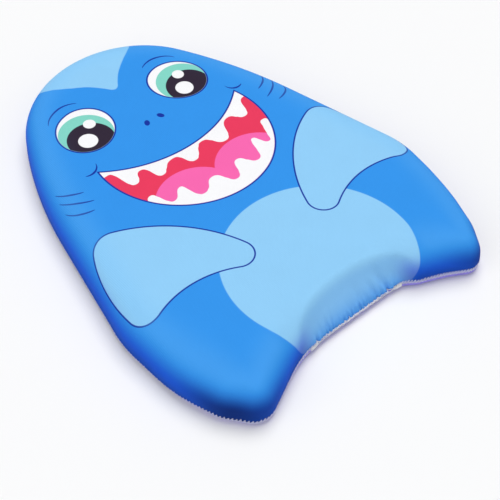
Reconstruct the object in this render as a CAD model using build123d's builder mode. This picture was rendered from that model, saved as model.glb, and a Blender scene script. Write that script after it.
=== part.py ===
"""Shark-shaped kickboard float: a foam core sewn into a two-piece fabric cover.

Frame: millimetres, +Z up, +Y to the nose. The origin is on the underside,
at the middle of the board's length and width. The board is symmetric about
the YZ plane.
"""
from build123d import *
import os

# Whole board
THICKNESS = 36.0        # underside to the flat of the top
TOP_ROUND = 22.0        # large round between the top and the sides
UNDER_ROUND = 4.5       # small round between the sides and the underside
COVER_WALL = 1.5        # cover fabric with its thin backing
SEAM_HEIGHT = 6.0       # height of the edge seam above the underside

# Corners of the plan on the right-hand side, from the tail to the nose.
# Each one is x, y and the radius that rounds it.
NOTCH = (54.5, -173.0, 107.0)       # end of the straight closing seam
LOBE_TIP = (121.5, -205.0, 17.3)    # rear tip of the tail lobe
LOBE_SIDE = (140.5, -175.5, 26.0)   # outer corner of the tail lobe
HIP = (156.0, -76.5, 89.0)          # widest place
SHOULDER = (117.0, 95.5, 410.0)     # where the sides turn in to the nose
NOSE = (0.0, 312.0, 101.4)          # the single round at the front

# Sloped face of the notch, from a curved edge on the top down to the closing seam.
# The foam is bevelled here and the cover lies on the bevel.
SLOPE_HALF_WIDTH = 64.0
SLOPE_EDGE_MIDDLE_Y = -151.5    # curved edge on the top
SLOPE_EDGE_END_Y = -172.0
SLOPE_FOOT_MIDDLE_Y = -172.6    # foot of the slope, just above the seam
SLOPE_FOOT_END_Y = -178.0
SLOPE_FOOT_HEIGHT = 7.5
SLOPE_BACK_Y = -230.0           # the cut runs out past the tail
SLOPE_SETBACK = 1.25            # run along Y for each millimetre of wall

# Seam threads
STITCH_PROUD = 0.8      # how far the edge stitches stand out
STITCH_BAND = 1.2       # height of each row of edge stitches
CLOSING_PROUD = 1.1     # the closing stitches are thicker
CLOSING_BAND = 2.6
TACK_PROUD = 1.6        # the knots at both ends of the closing seam
TACK_BAND = 5.0
TACK_INNER_X = 43.0     # a knot lies between these two distances from the middle
TACK_OUTER_X = 48.0
TAIL_WINDOW = 40.0      # depth of the plan window around the tail seam

os.makedirs("parts", exist_ok=True)


def board_plan(inset):
    """Plan of the board, drawn in by inset on every side."""
    right = [NOTCH, LOBE_TIP, LOBE_SIDE, HIP, SHOULDER]
    left = [(-x, y, radius) for x, y, radius in reversed(right)]
    corners = right + [NOSE] + left
    with BuildSketch() as plan:
        with BuildLine():
            FilletPolyline(
                [(x, y) for x, y, radius in corners],
                radius=[radius for x, y, radius in corners],
                close=True,
            )
        make_face()
        if inset != 0:
            offset(amount=-inset)
    return plan.sketch


def wedge_plan(edge_middle_y, edge_end_y):
    """Plan of the wedge that leaves the sloped face: a curved front, square behind."""
    right_end = (SLOPE_HALF_WIDTH, edge_end_y)
    left_end = (-SLOPE_HALF_WIDTH, edge_end_y)
    with BuildSketch() as plan:
        with BuildLine():
            ThreePointArc(left_end, (0, edge_middle_y), right_end)
            Polyline(
                right_end,
                (SLOPE_HALF_WIDTH, SLOPE_BACK_Y),
                (-SLOPE_HALF_WIDTH, SLOPE_BACK_Y),
                left_end,
            )
        make_face()
    return plan.sketch


def notch_wedge(inset):
    """Wedge cut from the tail, moved forward for a form drawn in by inset."""
    forward = inset * SLOPE_SETBACK
    with BuildPart() as wedge:
        with BuildSketch(Plane.XY.offset(SLOPE_FOOT_HEIGHT)):
            add(wedge_plan(SLOPE_FOOT_MIDDLE_Y + forward, SLOPE_FOOT_END_Y + forward))
        with BuildSketch(Plane.XY.offset(THICKNESS)):
            add(wedge_plan(SLOPE_EDGE_MIDDLE_Y + forward, SLOPE_EDGE_END_Y + forward))
        loft(ruled=True)
    return wedge.part


def board_solid(inset):
    """The board's rounded form, drawn in by inset on every side."""
    with BuildPart() as form:
        with BuildSketch(Plane.XY.offset(inset)):
            add(board_plan(inset))
        extrude(amount=THICKNESS - 2 * inset)
        top_edges = form.faces().sort_by(Axis.Z)[-1].edges()
        fillet(top_edges, radius=TOP_ROUND - inset)
        under_edges = form.faces().sort_by(Axis.Z)[0].edges()
        fillet(under_edges, radius=UNDER_ROUND - inset)
        add(notch_wedge(inset), mode=Mode.SUBTRACT)
    return form.part


def edge_strip(proud):
    """Plan strip that stands proud of the sewn edge all round."""
    with BuildSketch() as strip:
        add(board_plan(-proud))
        add(board_plan(0), mode=Mode.SUBTRACT)
    return strip.sketch


def tack_strip(side):
    """Plan strip of one knot: side is 1 on the right and -1 on the left."""
    middle_x = side * (TACK_INNER_X + TACK_OUTER_X) / 2
    with BuildSketch() as strip:
        add(edge_strip(TACK_PROUD))
        with Locations((middle_x, NOTCH[1])):
            Rectangle(TACK_OUTER_X - TACK_INNER_X, TAIL_WINDOW, mode=Mode.INTERSECT)
    return strip.sketch


# Foam core: fills the cover
with BuildPart() as foam_core:
    add(board_solid(COVER_WALL))
foam_core.part.label = "foam_core"
export_step(foam_core.part, "parts/foam_core.step")

# Top cover: printed fabric over the top and down the sides to the edge seam
with BuildPart() as top_cover:
    add(board_solid(0))
    add(board_solid(COVER_WALL), mode=Mode.SUBTRACT)
    split(bisect_by=Plane.XY.offset(SEAM_HEIGHT), keep=Keep.TOP)
top_cover.part.label = "top_cover"
export_step(top_cover.part, "parts/top_cover.step")

# Bottom cover: plain fabric under the board, turned up to the edge seam
with BuildPart() as bottom_cover:
    add(board_solid(0))
    add(board_solid(COVER_WALL), mode=Mode.SUBTRACT)
    split(bisect_by=Plane.XY.offset(SEAM_HEIGHT), keep=Keep.BOTTOM)
bottom_cover.part.label = "bottom_cover"
export_step(bottom_cover.part, "parts/bottom_cover.step")

# Needle thread: the row of edge stitches above the seam, open at the tail notch
with BuildPart() as overlock_needle_thread:
    with BuildSketch(Plane.XY.offset(SEAM_HEIGHT)):
        add(edge_strip(STITCH_PROUD))
        with Locations((0, NOTCH[1])):
            Rectangle(2 * TACK_OUTER_X, TAIL_WINDOW, mode=Mode.SUBTRACT)
    extrude(amount=STITCH_BAND)
overlock_needle_thread.part.label = "overlock_needle_thread"
export_step(overlock_needle_thread.part, "parts/overlock_needle_thread.step")

# Looper thread: the row of edge stitches below the seam
with BuildPart() as overlock_looper_thread:
    with BuildSketch(Plane.XY.offset(SEAM_HEIGHT - STITCH_BAND)):
        add(edge_strip(STITCH_PROUD))
        with Locations((0, NOTCH[1])):
            Rectangle(2 * TACK_OUTER_X, TAIL_WINDOW, mode=Mode.SUBTRACT)
    extrude(amount=STITCH_BAND)
overlock_looper_thread.part.label = "overlock_looper_thread"
export_step(overlock_looper_thread.part, "parts/overlock_looper_thread.step")

# Closing thread: shuts the opening in the notch that the foam went in through
with BuildPart() as closing_seam_thread:
    with BuildSketch(Plane.XY.offset(SEAM_HEIGHT - CLOSING_BAND / 2)):
        add(edge_strip(CLOSING_PROUD))
        with Locations((0, NOTCH[1])):
            Rectangle(2 * TACK_INNER_X, TAIL_WINDOW, mode=Mode.INTERSECT)
    extrude(amount=CLOSING_BAND)
closing_seam_thread.part.label = "closing_seam_thread"
export_step(closing_seam_thread.part, "parts/closing_seam_thread.step")

# Knots: bar tacks that lock both ends of the closing seam
with BuildPart() as bartack_right:
    with BuildSketch(Plane.XY.offset(SEAM_HEIGHT - TACK_BAND / 2)):
        add(tack_strip(1))
    extrude(amount=TACK_BAND)
bartack_right.part.label = "bartack_right"
export_step(bartack_right.part, "parts/bartack_right.step")

with BuildPart() as bartack_left:
    with BuildSketch(Plane.XY.offset(SEAM_HEIGHT - TACK_BAND / 2)):
        add(tack_strip(-1))
    extrude(amount=TACK_BAND)
bartack_left.part.label = "bartack_left"
export_step(bartack_left.part, "parts/bartack_left.step")

box = top_cover.part.bounding_box()
print("board length", round(box.size.Y, 2), "width", round(box.size.X, 2))
print("nose y", round(box.max.Y, 2), "tail y", round(box.min.Y, 2))
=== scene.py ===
import math

import bmesh
import bpy
import numpy as np
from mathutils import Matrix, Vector, geometry, kdtree
from mathutils.bvhtree import BVHTree


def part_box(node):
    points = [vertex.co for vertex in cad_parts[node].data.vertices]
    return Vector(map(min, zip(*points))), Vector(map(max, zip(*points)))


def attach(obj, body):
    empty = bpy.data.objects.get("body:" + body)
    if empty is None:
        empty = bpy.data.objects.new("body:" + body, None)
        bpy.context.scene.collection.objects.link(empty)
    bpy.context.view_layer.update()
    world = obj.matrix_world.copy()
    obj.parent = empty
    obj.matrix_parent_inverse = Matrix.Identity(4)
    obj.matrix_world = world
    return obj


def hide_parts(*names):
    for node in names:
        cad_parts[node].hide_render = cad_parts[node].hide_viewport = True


# A shark-shaped kickboard float: a foam board in a printed cover that is sewn round its edge.
# Shapes are worked out in millimetres and turned into metres when a mesh is made.

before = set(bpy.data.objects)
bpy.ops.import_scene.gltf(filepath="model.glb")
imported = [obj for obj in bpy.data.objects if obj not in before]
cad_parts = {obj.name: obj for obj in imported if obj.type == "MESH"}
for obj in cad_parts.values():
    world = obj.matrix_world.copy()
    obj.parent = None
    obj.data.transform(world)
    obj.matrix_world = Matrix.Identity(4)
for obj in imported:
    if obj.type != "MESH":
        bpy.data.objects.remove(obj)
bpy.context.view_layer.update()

MM = 0.001
top_low, top_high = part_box("top_cover")
THICKNESS = top_high.z / MM             # underside to the flat of the top
SEAM = top_low.z / MM                   # height of the edge seam
TOP_ROUND = 22.0                        # round between the top and the sides
UNDER_ROUND = 4.5                       # round between the sides and the underside

# Corners of the plan on the right-hand side, from the tail to the nose: x, y, radius
RIGHT_CORNERS = [
    (54.5, -173.0, 107.0),      # end of the straight closing seam
    (121.5, -205.0, 17.3),      # rear tip of the tail lobe
    (140.5, -175.5, 26.0),      # outer corner of the tail lobe
    (156.0, -76.5, 89.0),       # widest place
    (117.0, 95.5, 410.0),       # where the sides turn in to the nose
]
NOSE = (0.0, 312.0, 101.4)

# Sloped face of the tail notch: from a curved edge on the top down to the closing seam
SLOPE_HALF_WIDTH = 64.0
SLOPE_TOP = (-151.5, -172.0)    # y at the middle and at both ends of the upper edge
SLOPE_FOOT = (-172.6, -178.0)   # y at the middle and at both ends of the foot
SLOPE_FOOT_HEIGHT = 7.5
SLOPE_LOWEST = 7.0              # the slope is level here, past its foot
SLOPE_BLEND = 5.0               # how softly the slope runs into the top
SLOPE_FADE = (10.0, 32.0)       # it runs out this far inside and outside its ends
SLOPE_CLEAR = 60.0              # by rising this far, clear of the top

# Where the notch ends, as ranges over which it fades: across, and y at its front
NOTCH_SIDES = (66, 84)
NOTCH_FRONT = (-150, -135)

# Cover
SHELL = 0.7                     # thickness of the fabric
TUCK = 0.8                      # how far the seam pulls the fabric in
TUCK_REACH = 2.4                # above and below the seam
TUCK_DEPTH = 3.5                # and only this near the outline
PRINT_LOWEST = 0.5              # the printed cover never touches the floor
SIDE_SEAM_DROP = 4.6            # the seam runs lower along the left side
LOBE_SEAM_DROP = 2.6            # and less so at the left lobe
DROP_SIDE = (-112, -60)         # x where the drop is full and where it ends
DROP_LOBE = (-175, -115)        # y where the lobe's drop is full and where it ends

# How the filled cover settles. A range says where a movement starts and where it is full:
# the first one across, and the second towards the tail.
RIGHT_PULL = 2.2                # how far the right side is pulled in
RIGHT_SIDE = (35, 105)
PULL_DIRECTION = (-0.75, 0.66)
LOBE_PULL = 5.0                 # and its tail lobe, in the same direction
RIGHT_LOBE = ((70, 126), (105, 178))
LOBE_SAG = (6.0, 4.0)           # the lobe's edge also sags: near the notch, and more at its tip
SAG_AT_NOTCH = ((46, 68), (150, 180))
SAG_AT_TIP = ((85, 126), (135, 180))
SAG_DIRECTION = (-0.66, -0.75)
LEFT_BULGE = 7.0                # the left side swells out in front of its lobe
LEFT_SIDE = (112, 142)
BULGE_MIDDLE = -135
BULGE_REACH = 42
BULGE_DIRECTION = (-0.95, -0.3)

# Meshes: rings along the edge, and a lattice of points inside them
RING_DEPTH = 14.0               # plan depth of the rings
RINGS = 18
RING_CROWDING = 1.25            # above 1 the rings lie closer together by the seam
LATTICE = 2.5                   # spacing of the points on the top
FINE_LATTICE = 1.2              # spacing in the notch
COLUMN = 2.0                    # spacing of the points round the edge
FINE_COLUMN = 0.75
UNDER_RINGS = 11                # the underside is plainer
UNDER_LATTICE = (5.0, 4.0)
UNDER_COLUMNS = 1.6             # its columns are this much wider
CLEARANCE = 0.55                # of the spacing, between the lattice and the last ring
LOBE_ROUNDS = 40                # rounds of evening out at the tail lobes
LOBE_RATE = 0.6

FOAM_GAP = 1.75                 # from the outer face of the covers to the foam
NOTCH_GAP = 2.2                 # and this much more behind the gathers

# Seam threads
THREAD = 0.34                   # radius of the edge thread
STITCH = 3.0                    # length of one edge stitch
STITCH_STEPS = 10               # points along one stitch
STITCH_POINT = 3                # the higher, the sharper the stitches' points
STITCH_RISE = 3.4               # how far the stitches reach up into the print
STITCH_DROP = 0.9               # and down into the bottom cover
STITCH_UNEVEN = 0.09            # how much their reach varies
STITCH_LOWEST = 0.6             # the thread stays this far above the floor
CLOSING_HALF = 43.0             # half the length of the closing seam
CLOSING_STEP = 0.45
STRAND = 0.38                   # radius of its two strands
STRAND_GAPS = (0.5, 0.75)       # half their distance at the middle, and what the ends add
STRAND_WAVE = 0.1               # how far they waver up and down
WHIP = 0.2                      # radius of the thread that holds them
WHIP_SPACING = 5.2
WHIP_LIFT = 1.2                 # how far it passes over them
KNOT_X = (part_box("bartack_right")[0].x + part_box("bartack_right")[1].x) / 2 / MM
KNOT_HALF = 4.2                 # half the length of a knot
KNOT_HEIGHT = 2.7               # half its height
KNOT_BULGE = 1.5                # how far it stands out
KNOT_THREAD = 0.42
KNOT_PASSES = 15


# ---------------- board shape

def rounded_outline(step):
    """The board's outline as close points, counterclockwise: straight runs and tangent arcs."""
    left = [(-x, y, radius) for x, y, radius in reversed(RIGHT_CORNERS)]
    corners = RIGHT_CORNERS + [NOSE] + left
    points = []
    for i, (x, y, radius) in enumerate(corners):
        here = np.array((x, y))
        before = np.array(corners[i - 1][:2]) - here
        after = np.array(corners[(i + 1) % len(corners)][:2]) - here
        before /= np.linalg.norm(before)
        after /= np.linalg.norm(after)
        half_angle = math.acos(before @ after) / 2
        middle = (before + after) / np.linalg.norm(before + after)
        centre = here + middle * radius / math.sin(half_angle)
        run = radius / math.tan(half_angle)
        first = here + before * run - centre
        last = here + after * run - centre
        turn_from = math.atan2(first[1], first[0])
        turn = (math.atan2(last[1], last[0]) - turn_from + math.pi) % math.tau - math.pi
        count = max(4, int(abs(turn) * radius / step))
        angles = turn_from + turn * np.linspace(0, 1, count)
        points.append(centre + radius * np.stack([np.cos(angles), np.sin(angles)], 1))
    return np.vstack(points)


def resample_closed(points, spacing):
    """Points along a closed line, spaced as spacing(points) says."""
    closed = np.vstack([points, points[:1]])
    steps = np.linalg.norm(np.diff(closed, axis=0), axis=1)
    lengths = np.concatenate([[0], np.cumsum(steps)])
    fine = np.arange(0, lengths[-1], 0.1)
    dense = np.stack([np.interp(fine, lengths, closed[:, k]) for k in (0, 1)], 1)
    counts = np.concatenate([[0], np.cumsum(0.1 / spacing(dense))])
    total = int(round(counts[-1]))
    places = np.interp(np.arange(total) * counts[-1] / total, counts, np.arange(len(counts)) * 0.1)
    return np.stack([np.interp(places, lengths, closed[:, k]) for k in (0, 1)], 1)


def evenly(spacing):
    """A spacing for resample_closed that is the same everywhere."""
    return lambda points: np.full(len(points), spacing)


def outward_normals(points):
    """Outward unit normals of a counterclockwise closed line."""
    along = np.roll(points, -1, 0) - np.roll(points, 1, 0)
    along /= np.linalg.norm(along, axis=1)[:, None]
    return np.stack([along[:, 1], -along[:, 0]], 1)


def smooth_step(x, low, high):
    """Smooth rise from 0 at low to 1 at high."""
    t = np.clip((x - low) / (high - low), 0, 1)
    return t * t * (3 - 2 * t)


def bell(x, reach):
    """1 at zero, and less on both sides over that reach."""
    return np.exp(-(x / reach) ** 2)


def in_notch(points):
    """1 in and around the tail notch, 0 elsewhere."""
    across = 1 - smooth_step(np.abs(points[:, 0]), *NOTCH_SIDES)
    return across * (1 - smooth_step(points[:, 1], *NOTCH_FRONT))


def column_spacing(points):
    """Spacing of the points round the edge, finer in the notch."""
    near = in_notch(points)
    return FINE_COLUMN * near + COLUMN * (1 - near)


def point_tree(points):
    """A tree that finds the nearest of the points."""
    tree = kdtree.KDTree(len(points))
    for number, point in enumerate(points):
        tree.insert(point, number)
    tree.balance()
    return tree


def level_vectors(plan):
    """Plan vectors as level ones in space."""
    return np.concatenate([plan, np.zeros((len(plan), 1))], 1)


edge_line = resample_closed(rounded_outline(0.2), evenly(0.25))
edge_normals = outward_normals(edge_line)
edge_tree = point_tree(level_vectors(edge_line))


def depth_in_board(points):
    """How far each plan point lies inside the outline, and the nearest outline point."""
    found = [edge_tree.find((x, y, 0)) for x, y in points[:, :2]]
    nearest = np.array([number for _, number, _ in found])
    distance = np.array([d for _, _, d in found])
    side = ((points[:, :2] - edge_line[nearest]) * edge_normals[nearest]).sum(1)
    return np.where(side <= 0, distance, -distance), nearest


def bowed(x, middle, end):
    """y of the arc that passes (0, middle) and (+-SLOPE_HALF_WIDTH, end)."""
    sag = middle - end
    radius = (SLOPE_HALF_WIDTH ** 2 + sag ** 2) / (2 * sag)
    return middle - (radius - np.sqrt(np.maximum(radius ** 2 - x ** 2, 0)))


def soft_min(a, b, width):
    """The smaller of two heights, with their crossing rounded over that width."""
    h = np.clip(0.5 + 0.5 * (b - a) / width, 0, 1)
    return b * (1 - h) + a * h - width * h * (1 - h)


def top_height(points, depth):
    """Height of the top surface over plan points that lie that deep inside the outline."""
    inner = np.clip(depth, 0, TOP_ROUND)
    height = THICKNESS - TOP_ROUND + np.sqrt(TOP_ROUND ** 2 - (TOP_ROUND - inner) ** 2)
    x = np.clip(points[:, 0], -SLOPE_HALF_WIDTH, SLOPE_HALF_WIDTH)
    foot = bowed(x, *SLOPE_FOOT)
    edge = bowed(x, *SLOPE_TOP)
    share = (points[:, 1] - foot) / (edge - foot)
    slope = SLOPE_FOOT_HEIGHT + share * (THICKNESS - SLOPE_FOOT_HEIGHT)
    slope = np.maximum(slope, SLOPE_LOWEST)
    inside, outside = SLOPE_FADE
    across = np.abs(points[:, 0])
    slope += SLOPE_CLEAR * smooth_step(across, SLOPE_HALF_WIDTH - inside, SLOPE_HALF_WIDTH + outside)
    return soft_min(height, slope, SLOPE_BLEND)


def seam_height(points):
    """Height of the edge seam: lower along the left side than elsewhere."""
    left = 1 - smooth_step(points[:, 0], *DROP_SIDE)
    lobe = 1 - smooth_step(points[:, 1], *DROP_LOBE)
    return SEAM - left * (SIDE_SEAM_DROP - (SIDE_SEAM_DROP - LOBE_SEAM_DROP) * lobe)


def settle(points):
    """The filled cover lies further in on the right, and swells out on the left in front of its lobe."""
    x, y = points[:, 0], points[:, 1]

    def share(across, tailward):
        return smooth_step(x, *across) * smooth_step(-y, *tailward)

    pull = RIGHT_PULL * smooth_step(x, *RIGHT_SIDE) + LOBE_PULL * share(*RIGHT_LOBE)
    sag = LOBE_SAG[0] * share(*SAG_AT_NOTCH) + LOBE_SAG[1] * share(*SAG_AT_TIP)
    bulge = LEFT_BULGE * smooth_step(-x, *LEFT_SIDE) * bell(y - BULGE_MIDDLE, BULGE_REACH)
    moved = points.copy()
    for amount, direction in ((pull, PULL_DIRECTION), (sag, SAG_DIRECTION), (bulge, BULGE_DIRECTION)):
        moved[:, :2] += amount[:, None] * np.array(direction)
    return moved


def flat_place(points, nearest):
    """Where each surface point lies when the cover is laid out flat: the print's own u and v."""
    drop = np.clip(THICKNESS - points[:, 2], 0, None)
    angle = np.arccos(np.clip(1 - drop / TOP_ROUND, 0, 1))
    excess = TOP_ROUND * (angle - np.sin(angle)) + np.maximum(drop - TOP_ROUND, 0)
    return points[:, :2] + edge_normals[nearest] * excess[:, None]


def along_profile(profile, shares):
    """Points at given shares of the length of each profile."""
    steps = np.linalg.norm(np.diff(profile, axis=1), axis=2)
    lengths = np.concatenate([np.zeros((len(profile), 1)), np.cumsum(steps, 1)], 1)
    rows = []
    for line, length in zip(profile, lengths):
        at = shares * length[-1]
        rows.append(np.stack([np.interp(at, length, line[:, k]) for k in (0, 1)], 1))
    return np.array(rows)


def edge_profiles(columns, normals, upward):
    """For each column of the edge, depth and height from the seam up over the round, or down under it."""
    seam = seam_height(columns)
    seam_angle = np.arcsin(np.clip((UNDER_ROUND - seam) / UNDER_ROUND, 0, 1))
    if upward:
        under_steps, wall_steps, over_steps = 8, 12, 71
        angles = seam_angle[:, None] * np.linspace(1, 0, under_steps)[None]
        under_height = np.maximum(UNDER_ROUND * (1 - np.sin(angles)), seam[:, None])
        under = np.stack([UNDER_ROUND * (1 - np.cos(angles)), under_height], 2)
        depths = np.linspace(0, RING_DEPTH, over_steps)
        ring = columns[:, None] - normals[:, None] * depths[None, :, None]
        flat_ring = ring.reshape(-1, 2)
        over = top_height(flat_ring, np.tile(depths, len(columns))).reshape(len(columns), -1)
        wall_low = np.maximum(seam, UNDER_ROUND)[:, None]
        wall = wall_low + (over[:, :1] - wall_low) * np.linspace(0, 1, wall_steps)[None]
        wall = np.stack([np.zeros_like(wall), wall], 2)
        over = np.stack([np.broadcast_to(depths, over.shape), over], 2)
        return np.concatenate([under, wall, over[:, 1:]], 1)
    wall_steps, under_steps, flat_steps = 6, 16, 12
    wall_end = np.minimum(seam, UNDER_ROUND)[:, None]
    wall = seam[:, None] + (wall_end - seam[:, None]) * np.linspace(0, 1, wall_steps)[None]
    wall_depth = UNDER_ROUND * (1 - np.cos(seam_angle))[:, None]
    wall = np.stack([np.broadcast_to(wall_depth, wall.shape), wall], 2)
    rest_of_turn = (math.pi / 2 - seam_angle)[:, None]
    angles = seam_angle[:, None] + rest_of_turn * np.linspace(0, 1, under_steps)[None]
    under = np.stack([UNDER_ROUND * (1 - np.cos(angles)), UNDER_ROUND * (1 - np.sin(angles))], 2)
    flat = np.linspace(UNDER_ROUND, RING_DEPTH, flat_steps)[1:]
    flat = np.broadcast_to(level_vectors(flat[:, None]), (len(columns), len(flat), 2))
    return np.concatenate([wall, under, flat], 1)


def lattice_points(inner_line, spacing, fine_spacing):
    """Staggered points inside the inner line, closer together in the notch."""
    low, high = inner_line.min(0), inner_line.max(0)
    layers = []
    for pitch, in_fine in ((spacing, False), (fine_spacing, True)):
        rows = np.arange(low[1], high[1], pitch * math.sqrt(3) / 2)
        for number, y in enumerate(rows):
            x = np.arange(low[0] + (number % 2) * pitch / 2, high[0], pitch)
            row = np.stack([x, np.full_like(x, y)], 1)
            layers.append(row[(in_notch(row) > 0.5) == in_fine])
    points = np.vstack(layers)
    depth, _ = depth_in_board(points)
    margin = RING_DEPTH + CLEARANCE * np.where(in_notch(points) > 0.5, fine_spacing, spacing)
    return points[depth > margin]


def skin(upward, column_step, ring_count, lattice, fine_lattice):
    """Points and faces of one cover's outer surface: rings along the edge and a filled middle."""
    columns = resample_closed(edge_line, column_step)
    normals = outward_normals(columns)
    shares = np.linspace(0, 1, ring_count) ** (RING_CROWDING if upward else 1.0)
    profile = along_profile(edge_profiles(columns, normals, upward), shares)
    count = len(columns)
    plan = columns[:, None] - normals[:, None] * profile[:, :, :1]
    rings = np.concatenate([plan, profile[:, :, 1:]], 2)

    inner = rings[:, -1, :2]
    filled = lattice_points(inner, lattice, fine_lattice)
    outline = [Vector(p) for p in inner] + [Vector(p) for p in filled]
    border = [(k, (k + 1) % count) for k in range(count)]
    flat, _, faces, origin, _, _ = geometry.delaunay_2d_cdt(outline, border, [], 1, 1e-6)
    middle = np.array([(p.x, p.y) for p in flat])
    depth, _ = depth_in_board(middle)
    height = top_height(middle, depth) if upward else np.zeros(len(middle))
    points = rings.transpose(1, 0, 2).reshape(-1, 3)
    numbers = {}
    extra = []
    last_ring = (ring_count - 1) * count
    for k, sources in enumerate(origin):
        ring_source = [s for s in sources if s < count]
        if ring_source:
            numbers[k] = last_ring + ring_source[0]
        else:
            numbers[k] = len(points) + len(extra)
            extra.append((*middle[k], height[k]))
    points = np.vstack([points, np.array(extra)])
    quads = []
    for ring in range(ring_count - 1):
        for k in range(count):
            a = ring * count + k
            b = ring * count + (k + 1) % count
            quads.append((a, b, b + count, a + count))
    tris = [tuple(numbers[k] for k in face) for face in faces]
    if not upward:
        quads = [tuple(reversed(quad)) for quad in quads]
        tris = [tuple(reversed(tri)) for tri in tris]
    return points, quads + tris


def soften_lobes(points, faces, rounds):
    """Evens out the heights where the round of a tail lobe meets itself."""
    depth, _ = depth_in_board(points)
    weight = smooth_step(depth, 11, 14) * (1 - smooth_step(depth, 26, 30))
    weight *= 1 - smooth_step(points[:, 1], -165, -140)
    weight *= smooth_step(np.abs(points[:, 0]), 74, 84)
    edges = {tuple(sorted(pair)) for face in faces for pair in zip(face, face[1:] + face[:1])}
    edges = np.array(sorted(edges))
    edges = edges[(weight[edges] > 0).any(1)]
    total = np.bincount(edges.ravel(), minlength=len(points))
    total[total == 0] = 1
    height = points[:, 2].copy()
    for _ in range(rounds):
        near = np.bincount(edges[:, 0], height[edges[:, 1]], len(points))
        near += np.bincount(edges[:, 1], height[edges[:, 0]], len(points))
        height += weight * LOBE_RATE * (near / total - height) * (weight > 0)
    points[:, 2] = height
    return points


# ---------------- meshes

def joined(parts):
    """Several pairs of points and faces as one pair."""
    points, faces = [], []
    start = 0
    for part_points, part_faces in parts:
        points.append(part_points)
        faces += [tuple(k + start for k in face) for face in part_faces]
        start += len(part_points)
    return np.vstack(points), faces


def add_object(name, data):
    """A new object in the scene."""
    piece = bpy.data.objects.new(name, data)
    bpy.context.scene.collection.objects.link(piece)
    return piece


def mesh_object(name, points, faces):
    """A smooth object from points in millimetres."""
    mesh = bpy.data.meshes.new(name)
    mesh.from_pydata([tuple(p) for p in np.asarray(points) * MM], [], faces)
    mesh.validate()
    mesh.polygons.foreach_set("use_smooth", [True] * len(mesh.polygons))
    mesh.update()
    return add_object(name, mesh)


def mesh_points(mesh):
    """A mesh's points in millimetres."""
    flat = np.zeros(len(mesh.vertices) * 3)
    mesh.vertices.foreach_get("co", flat)
    return flat.reshape(-1, 3) / MM


def vertex_normals(points, faces):
    """Area-weighted unit normals."""
    normals = np.zeros_like(points)
    corners = np.array([(f[0], f[1], f[2]) for f in faces])
    spare = np.array([(f[0], f[2], f[3]) for f in faces if len(f) == 4])
    corners = np.vstack([corners, spare]) if len(spare) else corners
    a, b, c = (points[corners[:, k]] for k in range(3))
    area = np.cross(b - a, c - a)
    for k in range(3):
        for axis in range(3):
            normals[:, axis] += np.bincount(corners[:, k], area[:, axis], len(points))
    return normals / np.maximum(np.linalg.norm(normals, axis=1), 1e-9)[:, None]


# ---------------- cloth simulation

SWELL_CAP = 1.0         # most that the tight cover swells away from the foam
SINK_CAP = 0.35         # most that it presses into it
SWELL_CLEAR = 4.0       # the swelling starts this far from the seam
FORM_SIZE = 5.0         # size of the coarse form's faces
PIN_BAND = 1.5          # the form is held fast this near the seam
PIN_FADE = 3.0          # and less over this much more
FRAMES = 20
NEIGHBOURS = 10         # points that carry a movement over
CARRY_BLUR = 3.0
CLOTH = dict(quality=6, mass=0.25, tension_stiffness=25, compression_stiffness=25, shear_stiffness=12,
             bending_stiffness=2.5, use_pressure=True, uniform_pressure_force=4, vertex_group_mass="pins")


def swollen_cover():
    """Cloth simulation of the whole cover under light pressure: rest points and how far each one moved."""
    top = skin(True, evenly(FORM_SIZE), 8, 7.0, 5.0)
    under = skin(False, evenly(FORM_SIZE), 5, 9.0, 9.0)
    body = mesh_object("cover_form", *joined([top, under]))
    bpy.context.view_layer.objects.active = body
    weld = body.modifiers.new("weld", "WELD")
    weld.merge_threshold = 0.5 * MM
    remesh = body.modifiers.new("remesh", "REMESH")
    remesh.mode = "VOXEL"
    remesh.voxel_size = FORM_SIZE * MM
    for modifier in list(body.modifiers):
        bpy.ops.object.modifier_apply(modifier=modifier.name)
    rest = mesh_points(body.data)
    pins = body.vertex_groups.new(name="pins")
    for number, (x, y, z) in enumerate(rest):
        height = seam_height(np.array([[x, y]]))[0]
        weight = max(0.0, 1 - max(0.0, abs(z - height) - PIN_BAND) / PIN_FADE)
        if weight > 0:
            pins.add([number], weight, "REPLACE")
    cloth = body.modifiers.new("cloth", "CLOTH")
    for name, value in CLOTH.items():
        setattr(cloth.settings, name, value)
    cloth.settings.effector_weights.gravity = 0
    cloth.collision_settings.use_collision = False
    cloth.point_cache.frame_start = 1
    cloth.point_cache.frame_end = FRAMES
    for number in range(1, FRAMES + 1):
        bpy.context.scene.frame_set(number)
    grown = body.evaluated_get(bpy.context.evaluated_depsgraph_get())
    moved = mesh_points(grown.data) - rest
    bpy.context.scene.frame_set(1)
    form = body.data
    bpy.data.objects.remove(body)
    bpy.data.meshes.remove(form)
    size = np.linalg.norm(moved, axis=1)
    print("cover swelled by", round(float(size.mean()), 2), "mm, at most", round(float(size.max()), 2))
    return rest, moved * (SWELL_CAP * np.tanh(size / SWELL_CAP) / np.maximum(size, 1e-9))[:, None]


def carry_over(points, rest, moved):
    """The movement of the coarse form at other points, from its nearest points."""
    tree = point_tree(rest)
    carried = np.zeros_like(points)
    for k, point in enumerate(points):
        near = tree.find_n(point, NEIGHBOURS)
        weights = np.array([1 / (d * d + CARRY_BLUR ** 2) for _, _, d in near])
        carried[k] = weights @ moved[[number for _, number, _ in near]] / weights.sum()
    return carried


# ---------------- gathers at the closing seam

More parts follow.
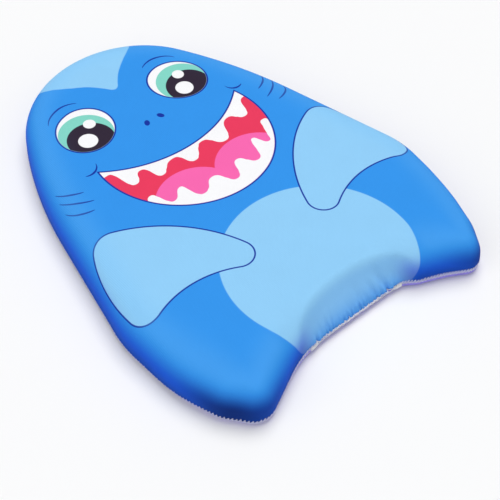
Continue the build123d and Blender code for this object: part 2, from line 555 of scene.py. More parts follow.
rng = np.random.default_rng(11)
GATHER_ENDS = (-41.0, 42)       # x of the first gather, and where they stop
GATHER_SPACING = (2.5, 4.6)
GATHER_DEPTH = (0.8, 1.9)
GATHER_WIDTH = (0.65, 1.1)      # half its width at the seam
GATHER_LENGTH = (5.0, 13.0)
GATHER_LEAN = (-0.3, 0.25)
KNOT_GATHERS = [
    (36.5, 2.2, 1.3, 19.0, -0.3),   # the long one by the right knot
    (-43.5, 1.5, 1.3, 10.0, 0.4),   # a shorter one by the left knot
]
GATHER_OPEN = 0.09              # how much wider a gather gets for each millimetre up
GATHER_SWELL = 0.95             # the cover bulges this much just above the closing seam
GATHER_SWELL_REACH = 13.0
GATHER_SIDES = (44, 60)         # the gathers fade out here
GATHER_FRONT = -140


def gather_list():
    """Small folds that run up from the closing seam: x, depth, half width, length, lean."""
    folds = []
    x, last = GATHER_ENDS
    while x < last:
        sizes = [rng.uniform(*span) for span in (GATHER_DEPTH, GATHER_WIDTH, GATHER_LENGTH, GATHER_LEAN)]
        folds.append((x, *sizes))
        x += rng.uniform(*GATHER_SPACING)
    return folds + KNOT_GATHERS


def gathers(points):
    """How far the gathers move each point of the sloped face out along its normal."""
    rise = points[:, 2] - seam_height(points)
    inward = points[:, 1] - bowed(np.clip(points[:, 0], -SLOPE_HALF_WIDTH, SLOPE_HALF_WIDTH), *SLOPE_FOOT)
    run = np.sqrt(np.maximum(rise, 0) ** 2 + np.maximum(inward, 0) ** 2)
    near = 1 - smooth_step(np.abs(points[:, 0]), *GATHER_SIDES)
    near *= (points[:, 1] < GATHER_FRONT) * (points[:, 2] > SEAM - 1)
    start = 0.35 + 0.65 * smooth_step(run, 0, 2.2)
    out = GATHER_SWELL * bell(run, GATHER_SWELL_REACH) * smooth_step(run, 1.0, 7.0)
    for x, depth, width, length, lean in gather_folds:
        across = points[:, 0] - x - lean * run
        spread = width * (1 + GATHER_OPEN * run)
        groove = bell(across, spread) * start
        banks = 0.35 * bell(np.abs(across) - 2.1 * spread, spread)
        out += depth * (banks - groove) * bell(run, length)
    return out * near


gather_folds = gather_list()


# ---------------- covers

# Painted shade: the print's colour is made darker on the sides, at the lobes' corners, low down by the seam
# and on the slope, and a painted highlight makes it paler where the top turns over the round. A tilt is in
# degrees from level, and a range says over which stretch a shade comes or goes.
SIDE_SHADE_TILT = (35, 86)
LOBE_SHADE_TILT = (38, 86)
SHADED_LOBE_CORNER = (133.0, -182.0)
LOBE_SHADE_REACH = 38.0
LOW_SHADE = 0.62
LOW_REACH = 12.0        # above the seam
SLOPE_SHADE_SIDES = (40, 66)
SLOPE_SHADE_DROP = (0.3, 8)   # below the flat of the top
FOOT_SHADE_REACH = 9.5
HIGHLIGHT_TILT = (25, 52)
HIGHLIGHT_DEPTH = 15.0        # depth of the painted highlight in the board
HIGHLIGHT_REACH = 12.0


def painted_shading(points, depth):
    """How much each painted shade and the painted highlight show, from 0 to 1, by the name of its attribute.
    """
    drop = np.clip(THICKNESS - points[:, 2], 0, None)
    tilt = np.degrees(np.arccos(np.clip(1 - drop / TOP_ROUND, 0, 1)))
    across = np.abs(points[:, 0])
    on_slope = in_notch(points) * (1 - smooth_step(across, *SLOPE_SHADE_SIDES))
    rise = np.maximum(points[:, 2] - seam_height(points), 0)
    from_corner = np.hypot(across - SHADED_LOBE_CORNER[0], points[:, 1] - SHADED_LOBE_CORNER[1])
    lobe = bell(from_corner, LOBE_SHADE_REACH) * smooth_step(tilt, *LOBE_SHADE_TILT)
    low = np.maximum(LOW_SHADE * bell(rise, LOW_REACH), lobe)
    # Painted highlight: paler where the top begins to turn over the round
    painted_highlight = bell(depth - HIGHLIGHT_DEPTH, HIGHLIGHT_REACH) * (1 - smooth_step(tilt, *HIGHLIGHT_TILT))
    # Painted shade on the sides, low down by the seam and at the lobes' corners, on the slope and at its
    # foot, and a painted highlight on the round
    return {
        "side": smooth_step(tilt, *SIDE_SHADE_TILT) * (1 - on_slope),
        "low": low * (1 - on_slope),
        "slope": on_slope * smooth_step(drop, *SLOPE_SHADE_DROP),
        "foot": on_slope * bell(rise, FOOT_SHADE_REACH),
        "painted_highlight": painted_highlight * (1 - in_notch(points)),
    }


def cover_shape(points, faces, upward, swell):
    """Moves the plain skin: seam tuck, swelling, gathers. Gives the final points and the print's u, v."""
    depth, nearest = depth_in_board(points)
    laid_out = flat_place(points, nearest)
    normals = vertex_normals(points, faces)
    away = np.abs(points[:, 2] - seam_height(points))
    tuck = -TUCK * bell(away, TUCK_REACH) * (depth < TUCK_DEPTH)
    shaped = points + level_vectors(edge_normals[nearest]) * tuck[:, None]
    if swell is not None:
        rise = (carry_over(points, *swell) * normals).sum(1)
        rise = np.maximum(rise, -SINK_CAP) * (1 - bell(away, SWELL_CLEAR))
        shaped = shaped + normals * rise[:, None]
    if upward:
        shaped = shaped + normals * gathers(points)[:, None]
    shaped[:, 2] = np.maximum(shaped[:, 2], PRINT_LOWEST if upward else 0.0)
    return settle(shaped), laid_out, painted_shading(points, depth)


def cover(name, upward, swell):
    """One cover with its thickness, and the print's u, v and shades on its points."""
    if upward:
        points, faces = skin(True, column_spacing, RINGS, LATTICE, FINE_LATTICE)
        points = soften_lobes(points, faces, LOBE_ROUNDS)
    else:
        points, faces = skin(False, lambda p: UNDER_COLUMNS * column_spacing(p), UNDER_RINGS, *UNDER_LATTICE)
    shaped, laid_out, shades = cover_shape(points, faces, upward, swell)
    piece = mesh_object(name, shaped, faces)
    flat = piece.data.attributes.new("flat", "FLOAT_VECTOR", "POINT")
    flat.data.foreach_set("vector", level_vectors(laid_out).ravel())
    for shade, amount in shades.items():
        piece.data.attributes.new(shade, "FLOAT", "POINT").data.foreach_set("value", amount)
    shell = piece.modifiers.new("fabric", "SOLIDIFY")
    shell.thickness = SHELL * MM
    shell.offset = -1
    return piece


def foam_block(name):
    """The foam inside: the covers' form, drawn in by the fabric's thickness and a little air."""
    halves = []
    for upward in (True, False):
        half, faces = skin(upward, evenly(4.0), 12, 6.0, 4.0)
        if upward:
            half = soften_lobes(half, faces, 12)
        inward = -vertex_normals(half, faces)
        at_seam = np.abs(half[:, 2] - seam_height(half)) < 0.05
        _, nearest = depth_in_board(half)
        inward[at_seam] = -level_vectors(edge_normals[nearest])[at_seam]
        gap = FOAM_GAP + NOTCH_GAP * in_notch(half) * (half[:, 2] > 1)
        halves.append((settle(half + inward * gap[:, None]), faces))
    piece = mesh_object(name, *joined(halves))
    block = bmesh.new()
    block.from_mesh(piece.data)
    bmesh.ops.remove_doubles(block, verts=block.verts, dist=0.02 * MM)
    block.to_mesh(piece.data)
    block.free()
    return piece


# ---------------- threads

def tube(path, radius, sides=7):
    """Points and faces of a round thread along a path of points in millimetres."""
    path = np.asarray(path, float)
    along = np.gradient(path, axis=0)
    along /= np.maximum(np.linalg.norm(along, axis=1), 1e-9)[:, None]
    first = np.cross(along, (0.0, 0.0, 1.0))
    first /= np.maximum(np.linalg.norm(first, axis=1), 1e-9)[:, None]
    # Each point keeps the side vector of the point before it, turned to fit.
    for k in range(1, len(first)):
        side = first[k - 1] - along[k] * (first[k - 1] @ along[k])
        first[k] = side / max(np.linalg.norm(side), 1e-9)
    second = np.cross(along, first)
    turn = np.linspace(0, math.tau, sides, endpoint=False)[None, :, None]
    ring = first[:, None] * np.cos(turn) + second[:, None] * np.sin(turn)
    last = (len(path) - 1) * sides
    faces = []
    for row in range(0, last, sides):
        for s in range(sides):
            a = row + s
            b = row + (s + 1) % sides
            faces.append((a, a + sides, b + sides, b))
    faces.append(tuple(range(sides)))
    faces.append(tuple(last + s for s in reversed(range(sides))))
    return (path[:, None] + ring * radius).reshape(-1, 3), faces


class Surface:
    """The finished outer surface of the covers, to lay threads on."""

    def __init__(self, *pieces):
        meshes = [piece.data for piece in pieces]
        parts = [(mesh_points(mesh), [face.vertices for face in mesh.polygons]) for mesh in meshes]
        points, faces = joined(parts)
        self.tree = BVHTree.FromPolygons([Vector(p) for p in points], faces)

    def at(self, place, outward, height, lift):
        """The point that a level line towards the board meets at that height, lifted off the surface.

        The place is on the plain outline, so it settles first, as the cover did.
        """
        x, y = settle(place[None])[0]
        start = Vector((x + outward[0] * 12, y + outward[1] * 12, height))
        hit, normal, _, _ = self.tree.ray_cast(start, Vector((-outward[0], -outward[1], 0)))
        if hit is None:
            hit, normal, _, _ = self.tree.find_nearest(Vector((x, y, height)))
        if normal.dot(Vector((outward[0], outward[1], 0.2))) < 0:
            normal = -normal
        return np.array(hit + normal * lift)


def walk_edge(step):
    """Even places along the sewn edge, from the right end of the closing seam round to the left end."""
    line = resample_closed(edge_line, evenly(step))
    normals = outward_normals(line)
    sewn = (np.abs(line[:, 0]) > KNOT_X) | (line[:, 1] > 0)
    start = int(np.argmax(sewn & ~np.roll(sewn, 1)))
    order = (start + np.arange(len(line))) % len(line)
    order = order[sewn[order]]
    return line[order], normals[order]


def edge_stitches(surface, rise, low, lean, phase):
    """One thread that zig-zags along the edge seam: up by rise from low above the seam, and back."""
    line, normals = walk_edge(STITCH / STITCH_STEPS)
    path = []
    wobble = rng.normal(0, 1, len(line) // STITCH_STEPS + 3)
    for k, (place, outward) in enumerate(zip(line, normals)):
        turn = k / STITCH_STEPS + phase
        wave = (0.5 - 0.5 * math.cos(math.tau * turn)) ** STITCH_POINT
        reach = rise * (1 + STITCH_UNEVEN * wobble[int(turn)])
        height = seam_height(place[None])[0] + low + reach * wave
        along = np.array((-outward[1], outward[0]))
        spot = place + along * lean * STITCH * (wave - 0.5)
        lift = THREAD * (0.15 + 0.95 * math.sin(math.pi * wave))
        path.append(surface.at(spot, outward, max(height, STITCH_LOWEST), lift))
    return tube(path, THREAD)


def closing_line(step):
    """Places along the closing seam, left to right, with outward directions."""
    line = resample_closed(edge_line, evenly(step))
    normals = outward_normals(line)
    inside = (np.abs(line[:, 0]) <= CLOSING_HALF) & (line[:, 1] < 0)
    order = np.flatnonzero(inside)
    order = order[np.argsort(line[order, 0])]
    return line[order], normals[order]


def closing_seam(surface):
    """Two strands laid side by side along the seam, held by slanted whip stitches."""
    line, normals = closing_line(CLOSING_STEP)
    threads = []
    for side in (1, -1):
        path = []
        for k, (place, outward) in enumerate(zip(line, normals)):
            gap = STRAND_GAPS[0] + STRAND_GAPS[1] * abs(place[0] / CLOSING_HALF)
            height = SEAM - 0.5 + side * gap + STRAND_WAVE * math.sin(k * 0.31)
            path.append(surface.at(place, outward, height, STRAND * 1.7))
        threads.append(tube(path, STRAND, sides=8))
    count = int(2 * CLOSING_HALF / WHIP_SPACING)
    for number in range(count):
        centre = (number + 0.5) / count * len(line) + rng.uniform(-1, 1)
        lean = rng.uniform(2.2, 3.4)
        half_height = rng.uniform(1.7, 2.3)
        path = []
        for t in np.linspace(-1, 1, 11):
            k = int(np.clip(centre + lean * t, 0, len(line) - 1))
            lift = WHIP_LIFT * math.cos(t * math.pi / 2) ** 0.7 + 0.12
            path.append(surface.at(line[k], normals[k], SEAM - 0.6 + half_height * t, lift))
        threads.append(tube(path, WHIP, sides=6))
    return joined(threads)


def knot(surface, side):
    """A bar tack: close satin stitches across the seam, bulging out in the middle."""
    tail = np.flatnonzero((edge_line[:, 1] < 0) & (np.abs(edge_line[:, 0] - side * KNOT_X) < KNOT_HALF))
    tail = tail[np.argsort(edge_line[tail, 0])]
    path = []
    for number in range(KNOT_PASSES):
        share = (number + 0.5) / KNOT_PASSES
        from_middle = 2 * share - 1
        height = KNOT_HEIGHT * (1 - 0.35 * abs(from_middle) ** 3) * rng.uniform(0.88, 1.1)
        bulge = KNOT_BULGE * math.sqrt(max(0.05, 1 - from_middle ** 2))
        for t in np.linspace(-1, 1, 9):
            sweep = share + 0.5 / KNOT_PASSES * t
            k = tail[int(np.clip(sweep, 0, 0.999) * len(tail))]
            direction = t if number % 2 == 0 else -t
            lift = 0.15 + bulge * math.cos(t * math.pi / 2) ** 0.8
            path.append(surface.at(edge_line[k], edge_normals[k], SEAM - 0.3 + height * direction, lift))
    return tube(path, KNOT_THREAD)


# ---------------- fields: formulas made of shader nodes

def add_node(tree, kind, inputs, **settings):
    """A shader node with its settings. Each input is joined to a field or socket, or set to a value."""
    node = tree.nodes.new("ShaderNode" + kind)
    for name, value in settings.items():
        setattr(node, name, value)
    for key, value in inputs.items():
        if isinstance(value, Field):
            value = value.socket
        if isinstance(value, bpy.types.NodeSocket):
            tree.links.new(value, node.inputs[key])
        else:
            node.inputs[key].default_value = value
    return node


class Field:
    """A number that varies over a surface. Arithmetic on fields adds the nodes that work it out."""

    def __init__(self, tree, socket):
        self.tree = tree
        self.socket = socket

    def math(self, operation, *others, clamp=False):
        inputs = dict(enumerate((self, *others)))
        node = add_node(self.tree, "Math", inputs, operation=operation, use_clamp=clamp)
        return Field(self.tree, node.outputs[0])

    def __add__(self, other):
        return self.math("ADD", other)

    def __sub__(self, other):
        return self.math("SUBTRACT", other)

    def __mul__(self, other):
        return self.math("MULTIPLY", other)

    def __abs__(self):
        return self.math("ABSOLUTE")

    def sine(self):
        return self.math("SINE")

    def at_least(self, other):
        return self.math("MAXIMUM", other)

    def at_most(self, other):
        return self.math("MINIMUM", other)

    def below(self, soft=0.45):
        """1 where the field is below zero, 0 where it is above, over a soft edge."""
        return self.math("MULTIPLY_ADD", -1 / soft, 0.5, clamp=True)

    def ramp(self, low, high):
        """Smooth rise from 0 at low to 1 at high."""
        inputs = {"Value": self, "From Min": low, "From Max": high}
        node = add_node(self.tree, "MapRange", inputs, interpolation_type="SMOOTHSTEP")
        return Field(self.tree, node.outputs["Result"])

    def curve(self, points):
        """A smooth curve through (x, y) points."""
        xs = [x for x, y in points]
        ys = [y for x, y in points]
        low, high = min(xs), max(xs)
        bottom, top = min(ys) - 1, max(ys) + 1
        node = add_node(self.tree, "FloatCurve", {"Value": (self - low) * (1 / (high - low))})
        line = node.mapping.curves[0]
        while len(line.points) < len(points):
            line.points.new(0.5, 0.5)
        for point, (x, y) in zip(line.points, points):
            point.location = ((x - low) / (high - low), (y - bottom) / (top - bottom))
        node.mapping.update()
        return Field(self.tree, node.outputs["Value"]) * (top - bottom) + bottom


class Paint:
    """The colour of a surface, painted layer by layer."""

    def __init__(self, material, colour):
        self.tree = material.node_tree
        node = self.tree.nodes.new("ShaderNodeRGB")
        node.outputs[0].default_value = colour
        self.colour = node.outputs[0]

    def place(self):
        """The object's own coordinates."""
        return add_node(self.tree, "TexCoord", {}).outputs["Object"]

    def attribute(self, name):
        return add_node(self.tree, "Attribute", {}, attribute_name=name).outputs["Vector"]

    def number(self, name):
        node = add_node(self.tree, "Attribute", {}, attribute_name=name)
        return Field(self.tree, node.outputs["Fac"])

    def split(self, vector):
        node = add_node(self.tree, "SeparateXYZ", {0: vector})
        return [Field(self.tree, output) for output in node.outputs]

    def noise(self, vector, scale, detail, roughness=0.5):
        inputs = {"Vector": vector, "Scale": scale, "Detail": detail, "Roughness": roughness}
        return Field(self.tree, add_node(self.tree, "TexNoise", inputs).outputs["Fac"])

    def from_ellipse(self, vector, centre, semi, tilt=0.0):
        """Distance outside an ellipse, roughly in millimetres."""
        inputs = {
            "Vector": vector,
            "Location": (*centre, 0),
            "Rotation": (0, 0, math.radians(tilt)),
            "Scale": (*semi, 1),
        }
        node = add_node(self.tree, "Mapping", inputs, vector_type="TEXTURE")
        size = add_node(self.tree, "VectorMath", {0: node.outputs[0]}, operation="LENGTH")
        return (Field(self.tree, size.outputs["Value"]) - 1) * min(semi)

    def from_circle(self, vector, centre, radius):
        """Distance outside a circle."""
        return self.from_ellipse(vector, centre, (radius, radius))

    def layer(self, mask, colour, blend="MIX"):
        """Lays a colour over what is there where the mask is 1, or multiplies what is there by it."""
        inputs = {"Factor": mask, 6: self.colour, 7: colour}
        self.colour = add_node(self.tree, "Mix", inputs, data_type="RGBA", blend_type=blend).outputs[2]

    def multiply(self, amount):
        """Makes the colour lighter or darker by a field around 1."""
        inputs = {0: self.colour, "Scale": amount}
        self.colour = add_node(self.tree, "VectorMath", inputs, operation="SCALE").outputs[0]


def srgb(red, green, blue):
    """A colour given as 0 to 255 on screen, as the shader's linear colour."""
    def linear(value):
        value /= 255
        return value / 12.92 if value <= 0.04045 else ((value + 0.055) / 1.055) ** 2.4
    return (linear(red), linear(green), linear(blue), 1.0)


def new_material(name, roughness, sheen, specular):
    """A material and its shader."""
    material = bpy.data.materials.new(name)
    material.use_nodes = True
    shader = material.node_tree.nodes["Principled BSDF"]
    shader.inputs["Roughness"].default_value = roughness
    shader.inputs["Sheen Weight"].default_value = sheen
    shader.inputs["Sheen Roughness"].default_value = 0.45
    shader.inputs["Specular IOR Level"].default_value = specular
    return material, shader


def finish_material(paint, shader, height, distance, roughness):
    """Joins colour, bump height and roughness to the shader."""
    tree = paint.tree
    bump = add_node(tree, "Bump", {"Distance": distance, "Strength": 1.0, "Height": height})
    tree.links.new(paint.colour, shader.inputs["Base Color"])
    tree.links.new(bump.outputs[0], shader.inputs["Normal"])
    tree.links.new(roughness.socket, shader.inputs["Roughness"])


KNIT_PITCH = 1.45       # width of one knitted rib


def knit(u, v):
    """Height of a fine knit: ribs of small V-shaped loops."""
    rib = abs((u * (math.pi / KNIT_PITCH)).sine())
    loop = ((v * (math.tau / (KNIT_PITCH * 0.9))) + rib * 2.2).sine()
    return rib * 0.65 + loop * 0.3


# ---------------- the print

BLUE = srgb(54, 150, 237)
LIGHT = srgb(147, 207, 248)
LINE = srgb(26, 54, 160)
WHITE = srgb(250, 250, 252)
MOUTH_RED = srgb(236, 62, 96)
TONGUE_PINK = srgb(250, 106, 178)
IRIS_MINT = srgb(134, 216, 200)
PUPIL = srgb(52, 42, 58)
PAINTED_HIGHLIGHT = srgb(115, 195, 255)       # painted highlight where the top turns over the round
PAINTED_HIGHLIGHT_SHARE = 0.16
# Painted shade: what is left of the print's colour where each shade is full
PAINTED_SHADES = {
    "slope": (0.84, 0.9, 1.0, 1),
    "foot": (0.4, 0.68, 1.0, 1),
    "side": (0.4, 0.4, 0.95, 1),
    "low": (0.36, 0.25, 0.25, 1),
}
LINE_WIDTH = 1.35
BROW_WIDTH = LINE_WIDTH * 1.4
TICK_WIDTH = LINE_WIDTH * 1.45
GILL_WIDTH = LINE_WIDTH * 1.35

# The print's shapes lie flat in millimetres: u to the right, v to the nose.
NOSE_PATCH = [
    (0, 132.6), (3, 134.0), (7, 139.2), (13, 146.6), (20, 153.6), (30, 161.6),
    (40, 168.4), (47, 174.6), (50.5, 182), (52.5, 195), (54, 216),
]
UPPER_TEETH = [
    (-77, 48), (-70.5, 51.2), (-66.6, 47.5), (-63, 31.5), (-58.6, 27.6), (-53.6, 30.5), (-47, 38.2),
    (-41.8, 34.2), (-38.4, 23), (-34.8, 21.6), (-29, 25.4), (-16.8, 31.4), (-11.8, 28.4), (-8, 19.2),
    (-3.8, 17.3), (1.4, 20), (8, 28.2), (14.6, 31.5), (21, 27.4), (30.4, 18.8), (37, 23.4),
    (50, 39.4), (57, 34.8), (63.8, 30.6), (69.4, 35.6), (76.4, 49.4), (82, 50),
]
LOWER_TEETH = [
    (-64, 2), (-58.6, 9.6), (-54.6, 5), (-51, -4.6), (-46.8, -7.8), (-33.6, 1.6), (-30.4, -5.4),
    (-27.4, -14.6), (-23, -17.2), (-17, -15), (-6, -6.8), (2, -15.6), (8.2, -22), (14.6, -16.4),
    (22, -4.6), (29, -11), (36.4, -16.6), (42.6, -8), (46, 3), (49, 5.8), (53, 0.4), (58.8, -6.2),
    (62.4, 0.2), (66.6, 10.6), (71, 17.2), (76, 14),
]
EYES = [
    # outline: centre and size; iris, pupil, large and small highlight: centre and radius
    dict(eye=((-51.6, 107.4), (24.8, 26.8)), iris=((-54.0, 103.0), 24.2), pupil=((-54.9, 94.7), 20.9),
         shine=((-57.8, 95.3), 8.5), spark=((-44.6, 111.5), 5.5)),
    dict(eye=((49.2, 106.5), (26.6, 23.9)), iris=((51.2, 101.5), 24.2), pupil=((52.3, 93.5), 21.2),
         shine=((47.0, 94.1), 8.2), spark=((54.0, 111.6), 5.5)),
]
EYE_TURN = -41.3
BROWS = [
    ((-71.6, 134.3), (-54.8, 144.7), (-37.8, 141.1)),
    ((35.6, 140.1), (50.2, 143.3), (66.6, 132.9)),
]
NOSTRILS = [((-6.4, 79.9), -28.0), ((8.4, 79.9), 28.0)]     # centre and turn
NOSTRIL_SIZE = (2.4, 3.5)
# The mouth is the part of an ellipse that lies below a wide circle.
MOUTH_CENTRE = (2.9, 43.2)
MOUTH_SIZE = (78.8, 75.6)
MOUTH_TURN = -41.3
LIP_CENTRE = (0.9, 157.6)
LIP_RADIUS = 124.2
TONGUE = [((-29.6, -20.0), (37.6, 36.2)), ((33.6, -20.0), (37.6, 36.2))]
MOUTH_TICKS = [
    ((-84.6, 62.0), (-76.0, 61.6), (-69.8, 67.8)),
    ((76.2, 69.4), (80.4, 64.0), (89.0, 63.8)),
]
GILLS = [
    ((115, 65), (107.8, 55.2), (97, 49)),
    ((118, 55), (109, 43.4), (96, 36)),
    ((121, 42), (113.6, 31.8), (102, 27)),
]
# The arcs that bound a fin: centre, radius, and 1 where the fin lies inside the arc's circle or -1 outside it
FIN_INNER = ((154.7, -120.9), 127.6, 1)
FIN_OUTER = ((42.4, -69.1), 106.9, 1)
FIN_REAR = ((96.1, -171.7), 87.1, -1)
# Its round corners: the two arcs that meet, roughly where, and the radius
FIN_CORNERS = [
    (FIN_INNER, FIN_OUTER, (114, -20), 20.0),
    (FIN_OUTER, FIN_REAR, (138, -80), 14.5),
    (FIN_REAR, FIN_INNER, (45, -86), 13.2),
]
BELLY_CENTRE = (-0.6, -133.0)
BELLY_RADIUS = 81.0


def circle_through(a, b, c):
    """Centre and radius of the circle through three points."""
    (ax, ay), (bx, by), (cx, cy) = a, b, c
    d = 2 * (ax * (by - cy) + bx * (cy - ay) + cx * (ay - by))
    squares = [x * x + y * y for x, y in (a, b, c)]
    x = (squares[0] * (by - cy) + squares[1] * (cy - ay) + squares[2] * (ay - by)) / d
    y = (squares[0] * (cx - bx) + squares[1] * (ax - cx) + squares[2] * (bx - ax)) / d
    return (x, y), math.hypot(ax - x, ay - y)


def pen_line(paint, flat, u, v, points, width):
    """Draws a line along the arc through three points, thinner towards its ends."""
    centre, radius = circle_through(*points)
    off_line = abs(paint.from_circle(flat, centre, radius))
    first, last = points[0][0], points[-1][0]
    middle, half = (first + last) / 2, abs(last - first) / 2
    along = abs(u - middle) * (1 / half)
    same_side = ((v - centre[1]) * (-1 if points[1][1] > centre[1] else 1)).below()
    taper = (along * -1 + 1.06).at_least(0).math("POWER", 0.4) * width
    mask = (off_line - taper * 0.5).below() * same_side * (along - 1.04).below(0.04)
    paint.layer(mask, LINE)


def corner_centre(first, second, near, radius):
    """Centre of the circle of that radius that touches both arcs from inside the fin."""
    (ax, ay), first_radius, first_side = first
    (bx, by), second_radius, second_side = second
    reach = first_radius - first_side * radius
    other_reach = second_radius - second_side * radius
    gap = math.hypot(bx - ax, by - ay)
    along = (reach ** 2 - other_reach ** 2 + gap ** 2) / (2 * gap)
    across = math.sqrt(max(reach ** 2 - along ** 2, 0))
    forward = np.array((bx - ax, by - ay)) / gap
    sideways = np.array((-forward[1], forward[0]))
    choices = [np.array((ax, ay)) + forward * along + sideways * across * sign for sign in (1, -1)]
    return min(choices, key=lambda place: np.linalg.norm(place - near))


def fin_distance(paint, side_flat, across, v):
    """Distance outside a fin: the space between three wide arcs, with round corners."""
    fin = None
    for centre, radius, side in (FIN_INNER, FIN_OUTER, FIN_REAR):
        arc = paint.from_circle(side_flat, centre, radius) * side
        fin = arc if fin is None else fin.at_least(arc)
    for first, second, near, radius in FIN_CORNERS:
        centre = corner_centre(first, second, near, radius)
        touches = []
        for arc_centre, _, side in (first, second):
            towards = (centre - arc_centre) * side
            touches.append(towards / np.linalg.norm(towards))
        forward = touches[0] + touches[1]
        forward /= np.linalg.norm(forward)
        start = (centre + touches[0] * radius) @ forward
        past_touch = across * forward[0] + v * forward[1] - start
        disc = paint.from_circle(side_flat, centre, radius)
        fin = fin.at_least(disc.at_most(past_touch))
    return fin


def paint_face(paint, flat, u, v):
    """Eyes, brows, nostrils and the mouth with its teeth."""
    for eye in EYES:
        shape = paint.from_ellipse(flat, *eye["eye"], tilt=EYE_TURN)
        inside = shape.below()
        paint.layer((shape - LINE_WIDTH * 1.05).below(), LINE)
        paint.layer(inside, WHITE)
        for key, colour in (("iris", IRIS_MINT), ("pupil", PUPIL), ("shine", WHITE), ("spark", WHITE)):
            paint.layer(paint.from_circle(flat, *eye[key]).below() * inside, colour)
    for points in BROWS:
        pen_line(paint, flat, u, v, points, BROW_WIDTH)
    for centre, turn in NOSTRILS:
        paint.layer(paint.from_ellipse(flat, centre, NOSTRIL_SIZE, tilt=turn).below(), LINE)

    bowl = paint.from_ellipse(flat, MOUTH_CENTRE, MOUTH_SIZE, tilt=MOUTH_TURN)
    lip = paint.from_circle(flat, LIP_CENTRE, LIP_RADIUS) * -1
    mouth = bowl.at_least(lip)
    inside = mouth.below()
    paint.layer((mouth - LINE_WIDTH * 1.1).below(), LINE)
    paint.layer(inside, MOUTH_RED)
    left_lump, right_lump = [paint.from_ellipse(flat, *lump) for lump in TONGUE]
    paint.layer(left_lump.at_most(right_lump).below() * inside, TONGUE_PINK)
    upper = u.curve(UPPER_TEETH) - v
    lower = v - u.curve(LOWER_TEETH)
    paint.layer(upper.at_most(lower).below(0.6) * inside, WHITE)
    for points in MOUTH_TICKS:
        pen_line(paint, flat, u, v, points, TICK_WIDTH)


def printed_fabric():
    """The shark print on a fine knit."""
    material, shader = new_material("shark_print", 0.8, 0.03, 0.04)
    shader.inputs["Sheen Tint"].default_value = (0.15, 0.45, 1.0, 1)
    paint = Paint(material, BLUE)
    flat = paint.attribute("flat")
    u, v, _ = paint.split(flat)
    across = abs(u)
    folded = add_node(paint.tree, "CombineXYZ", {0: across, 1: v}).outputs[0]

    paint.layer(paint.from_circle(flat, BELLY_CENTRE, BELLY_RADIUS).below(0.8), LIGHT)
    paint.layer((across.curve(NOSE_PATCH) - v).below(1.2), LIGHT)
    fin = fin_distance(paint, folded, across, v)
    paint.layer((fin - LINE_WIDTH).below(), LINE)
    paint.layer(fin.below(), LIGHT)
    for points in GILLS:
        pen_line(paint, folded, across, v, points, GILL_WIDTH)
    paint_face(paint, flat, u, v)

    cloud = paint.noise(flat, 0.035, detail=2.0)
    grain = paint.noise(flat, 0.75, detail=4.0, roughness=0.7)
    paint.multiply(cloud * 0.06 + grain * 0.09 + 0.925)
    loops = knit(u, v)
    paint.multiply(loops * 0.05 + 0.975)
    # Painted highlight on the round
    paint.layer(paint.number("painted_highlight") * PAINTED_HIGHLIGHT_SHARE, PAINTED_HIGHLIGHT)
    # Painted shade on the sides, low down by the seam, at the lobes' corners and on the slope
    for shade, colour in PAINTED_SHADES.items():
        paint.layer(paint.number(shade), colour, "MULTIPLY")
    finish_material(paint, shader, loops * 0.6 + grain * 0.5, 0.12 * MM, grain * 0.2 + 0.6)
    return material


def plain_fabric():
    """Lavender knit of the bottom cover."""
    material, shader = new_material("lavender_knit", 0.8, 0.05, 0.1)
    paint = Paint(material, srgb(158, 148, 242))
    flat = paint.attribute("flat")
    u, v, _ = paint.split(flat)
    grain = paint.noise(flat, 0.6, detail=4.0, roughness=0.7)
    cloud = paint.noise(flat, 0.03, detail=2.0)
    paint.layer(cloud.ramp(0.45, 0.75) * 0.35, srgb(146, 136, 226))
    loops = knit(u, v)
    paint.multiply(grain * 0.12 + loops * 0.09 + 0.9)
    finish_material(paint, shader, loops * 0.7 + grain * 0.4, 0.14 * MM, grain * 0.2 + 0.62)
    return material


def thread_material(name, colour, shade):
    """Twisted polyester thread."""
    material, shader = new_material(name, 0.5, 0.15, 0.4)
    paint = Paint(material, colour)
    place = paint.place()
    x, y, z = paint.split(place)
    twist = ((x + y + z * 1.7) * (math.tau / (0.55 * MM))).sine()
    strands = paint.noise(place, 900.0, detail=2.0)
    paint.layer((twist * 0.5 + 0.5) * 0.45, shade)
    paint.multiply(strands * 0.25 + 0.87)
    finish_material(paint, shader, twist * 0.5 + strands * 0.5, 0.07 * MM, strands * 0.25 + 0.4)
    return material


def foam_material():
    """White closed-cell foam."""
    material, shader = new_material("white_foam", 0.85, 0.0, 0.3)
    paint = Paint(material, srgb(246, 246, 242))
    cells = add_node(paint.tree, "TexVoronoi", {"Scale": 450.0, "Vector": paint.place()})
    bead = Field(paint.tree, cells.outputs["Distance"])
    paint.layer(bead.ramp(0.35, 0.8) * 0.4, srgb(214, 214, 208))
    finish_material(paint, shader, bead * -1, 0.4 * MM, bead * 0.15 + 0.75)
    return material


# ---------------- stage

# Lamps, which are far away like the sun: direction, strength, and angle that it fills
LAMPS = {
    "key": ((0.3, 0.2, 1.0), 1.86, 45),
    "side": ((-0.8, 0.0, 0.6), 0.7, 60),
    "back": ((0.0, -0.8, 0.6), 0.35, 60),
}
CAMERA_PLACE = (-0.4833, -0.5981, 0.8000)
CAMERA_TARGET = (-0.0357, -0.0877, 0.036)
FLOOR_HALF = 6.0


def aim(holder, towards):
    """Turns a camera's or lamp's back to a direction."""
    holder.rotation_euler = Vector(towards).to_track_quat("Z", "Y").to_euler()


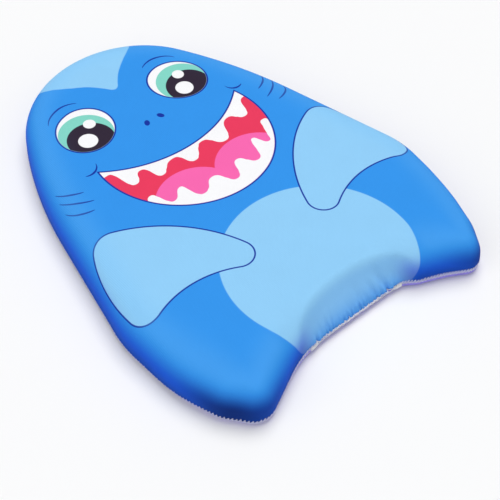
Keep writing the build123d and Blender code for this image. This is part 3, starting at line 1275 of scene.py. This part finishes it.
def stage():
    """Pale floor, soft light and the camera at the photograph's angle."""
    mesh = bpy.data.meshes.new("floor")
    corners = [(x * FLOOR_HALF, y * FLOOR_HALF, 0) for x, y in ((-1, -1), (1, -1), (1, 1), (-1, 1))]
    mesh.from_pydata(corners, [], [(0, 1, 2, 3)])
    floor = add_object("floor", mesh)
    floor.location.z = -0.0004
    material, shader = new_material("floor_paper", 0.9, 0.0, 0.1)
    shader.inputs["Base Color"].default_value = (0.95, 0.95, 0.95, 1)
    mesh.materials.append(material)

    world = bpy.data.worlds.new("studio")
    world.use_nodes = True
    sky = world.node_tree.nodes["Background"]
    sky.inputs["Color"].default_value = (0.97, 0.98, 1.0, 1)
    sky.inputs["Strength"].default_value = 0.27
    bpy.context.scene.world = world

    for name, (towards, strength, angle) in LAMPS.items():
        lamp = bpy.data.lights.new(name, "SUN")
        lamp.energy = strength
        lamp.angle = math.radians(angle)
        aim(add_object(name, lamp), towards)

    camera = bpy.data.cameras.new("camera")
    camera.lens = 93.6
    camera.sensor_width = 36.0
    camera.clip_start = 0.05
    holder = add_object("camera", camera)
    holder.location = CAMERA_PLACE
    aim(holder, Vector(CAMERA_PLACE) - Vector(CAMERA_TARGET))
    bpy.context.scene.camera = holder
    bpy.context.scene.view_settings.view_transform = "Standard"


# ---------------- the whole float

swell = swollen_cover()
top_cover = cover("printed_cover", True, swell)
bottom_cover = cover("lavender_cover", False, swell)
surface = Surface(top_cover, bottom_cover)

needle_thread = mesh_object("needle_thread", *edge_stitches(surface, STITCH_RISE, 0.1, 0.35, 0.0))
looper_thread = mesh_object("looper_thread", *edge_stitches(surface, -STITCH_DROP, -0.1, -0.3, 0.5))
closing_thread = mesh_object("closing_thread", *closing_seam(surface))
right_knot = mesh_object("right_knot", *knot(surface, 1))
left_knot = mesh_object("left_knot", *knot(surface, -1))
foam = foam_block("foam_board")

edge_look = thread_material("lavender_thread", srgb(232, 232, 255), srgb(188, 188, 244))
closing_look = thread_material("white_thread", srgb(254, 254, 255), srgb(244, 243, 253))
for piece, node, slot, look in (
    (top_cover, "top_cover", "printed_fabric", printed_fabric()),
    (bottom_cover, "bottom_cover", "plain_fabric", plain_fabric()),
    (needle_thread, "overlock_needle_thread", "thread", edge_look),
    (looper_thread, "overlock_looper_thread", "thread", edge_look),
    (closing_thread, "closing_seam_thread", "thread", closing_look),
    (right_knot, "bartack_right", "thread", closing_look),
    (left_knot, "bartack_left", "thread", closing_look),
    (foam, "foam_core", "foam", foam_material()),
):
    piece.data.materials.append(look)
    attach(piece, "root")
    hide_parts(node)

stage()
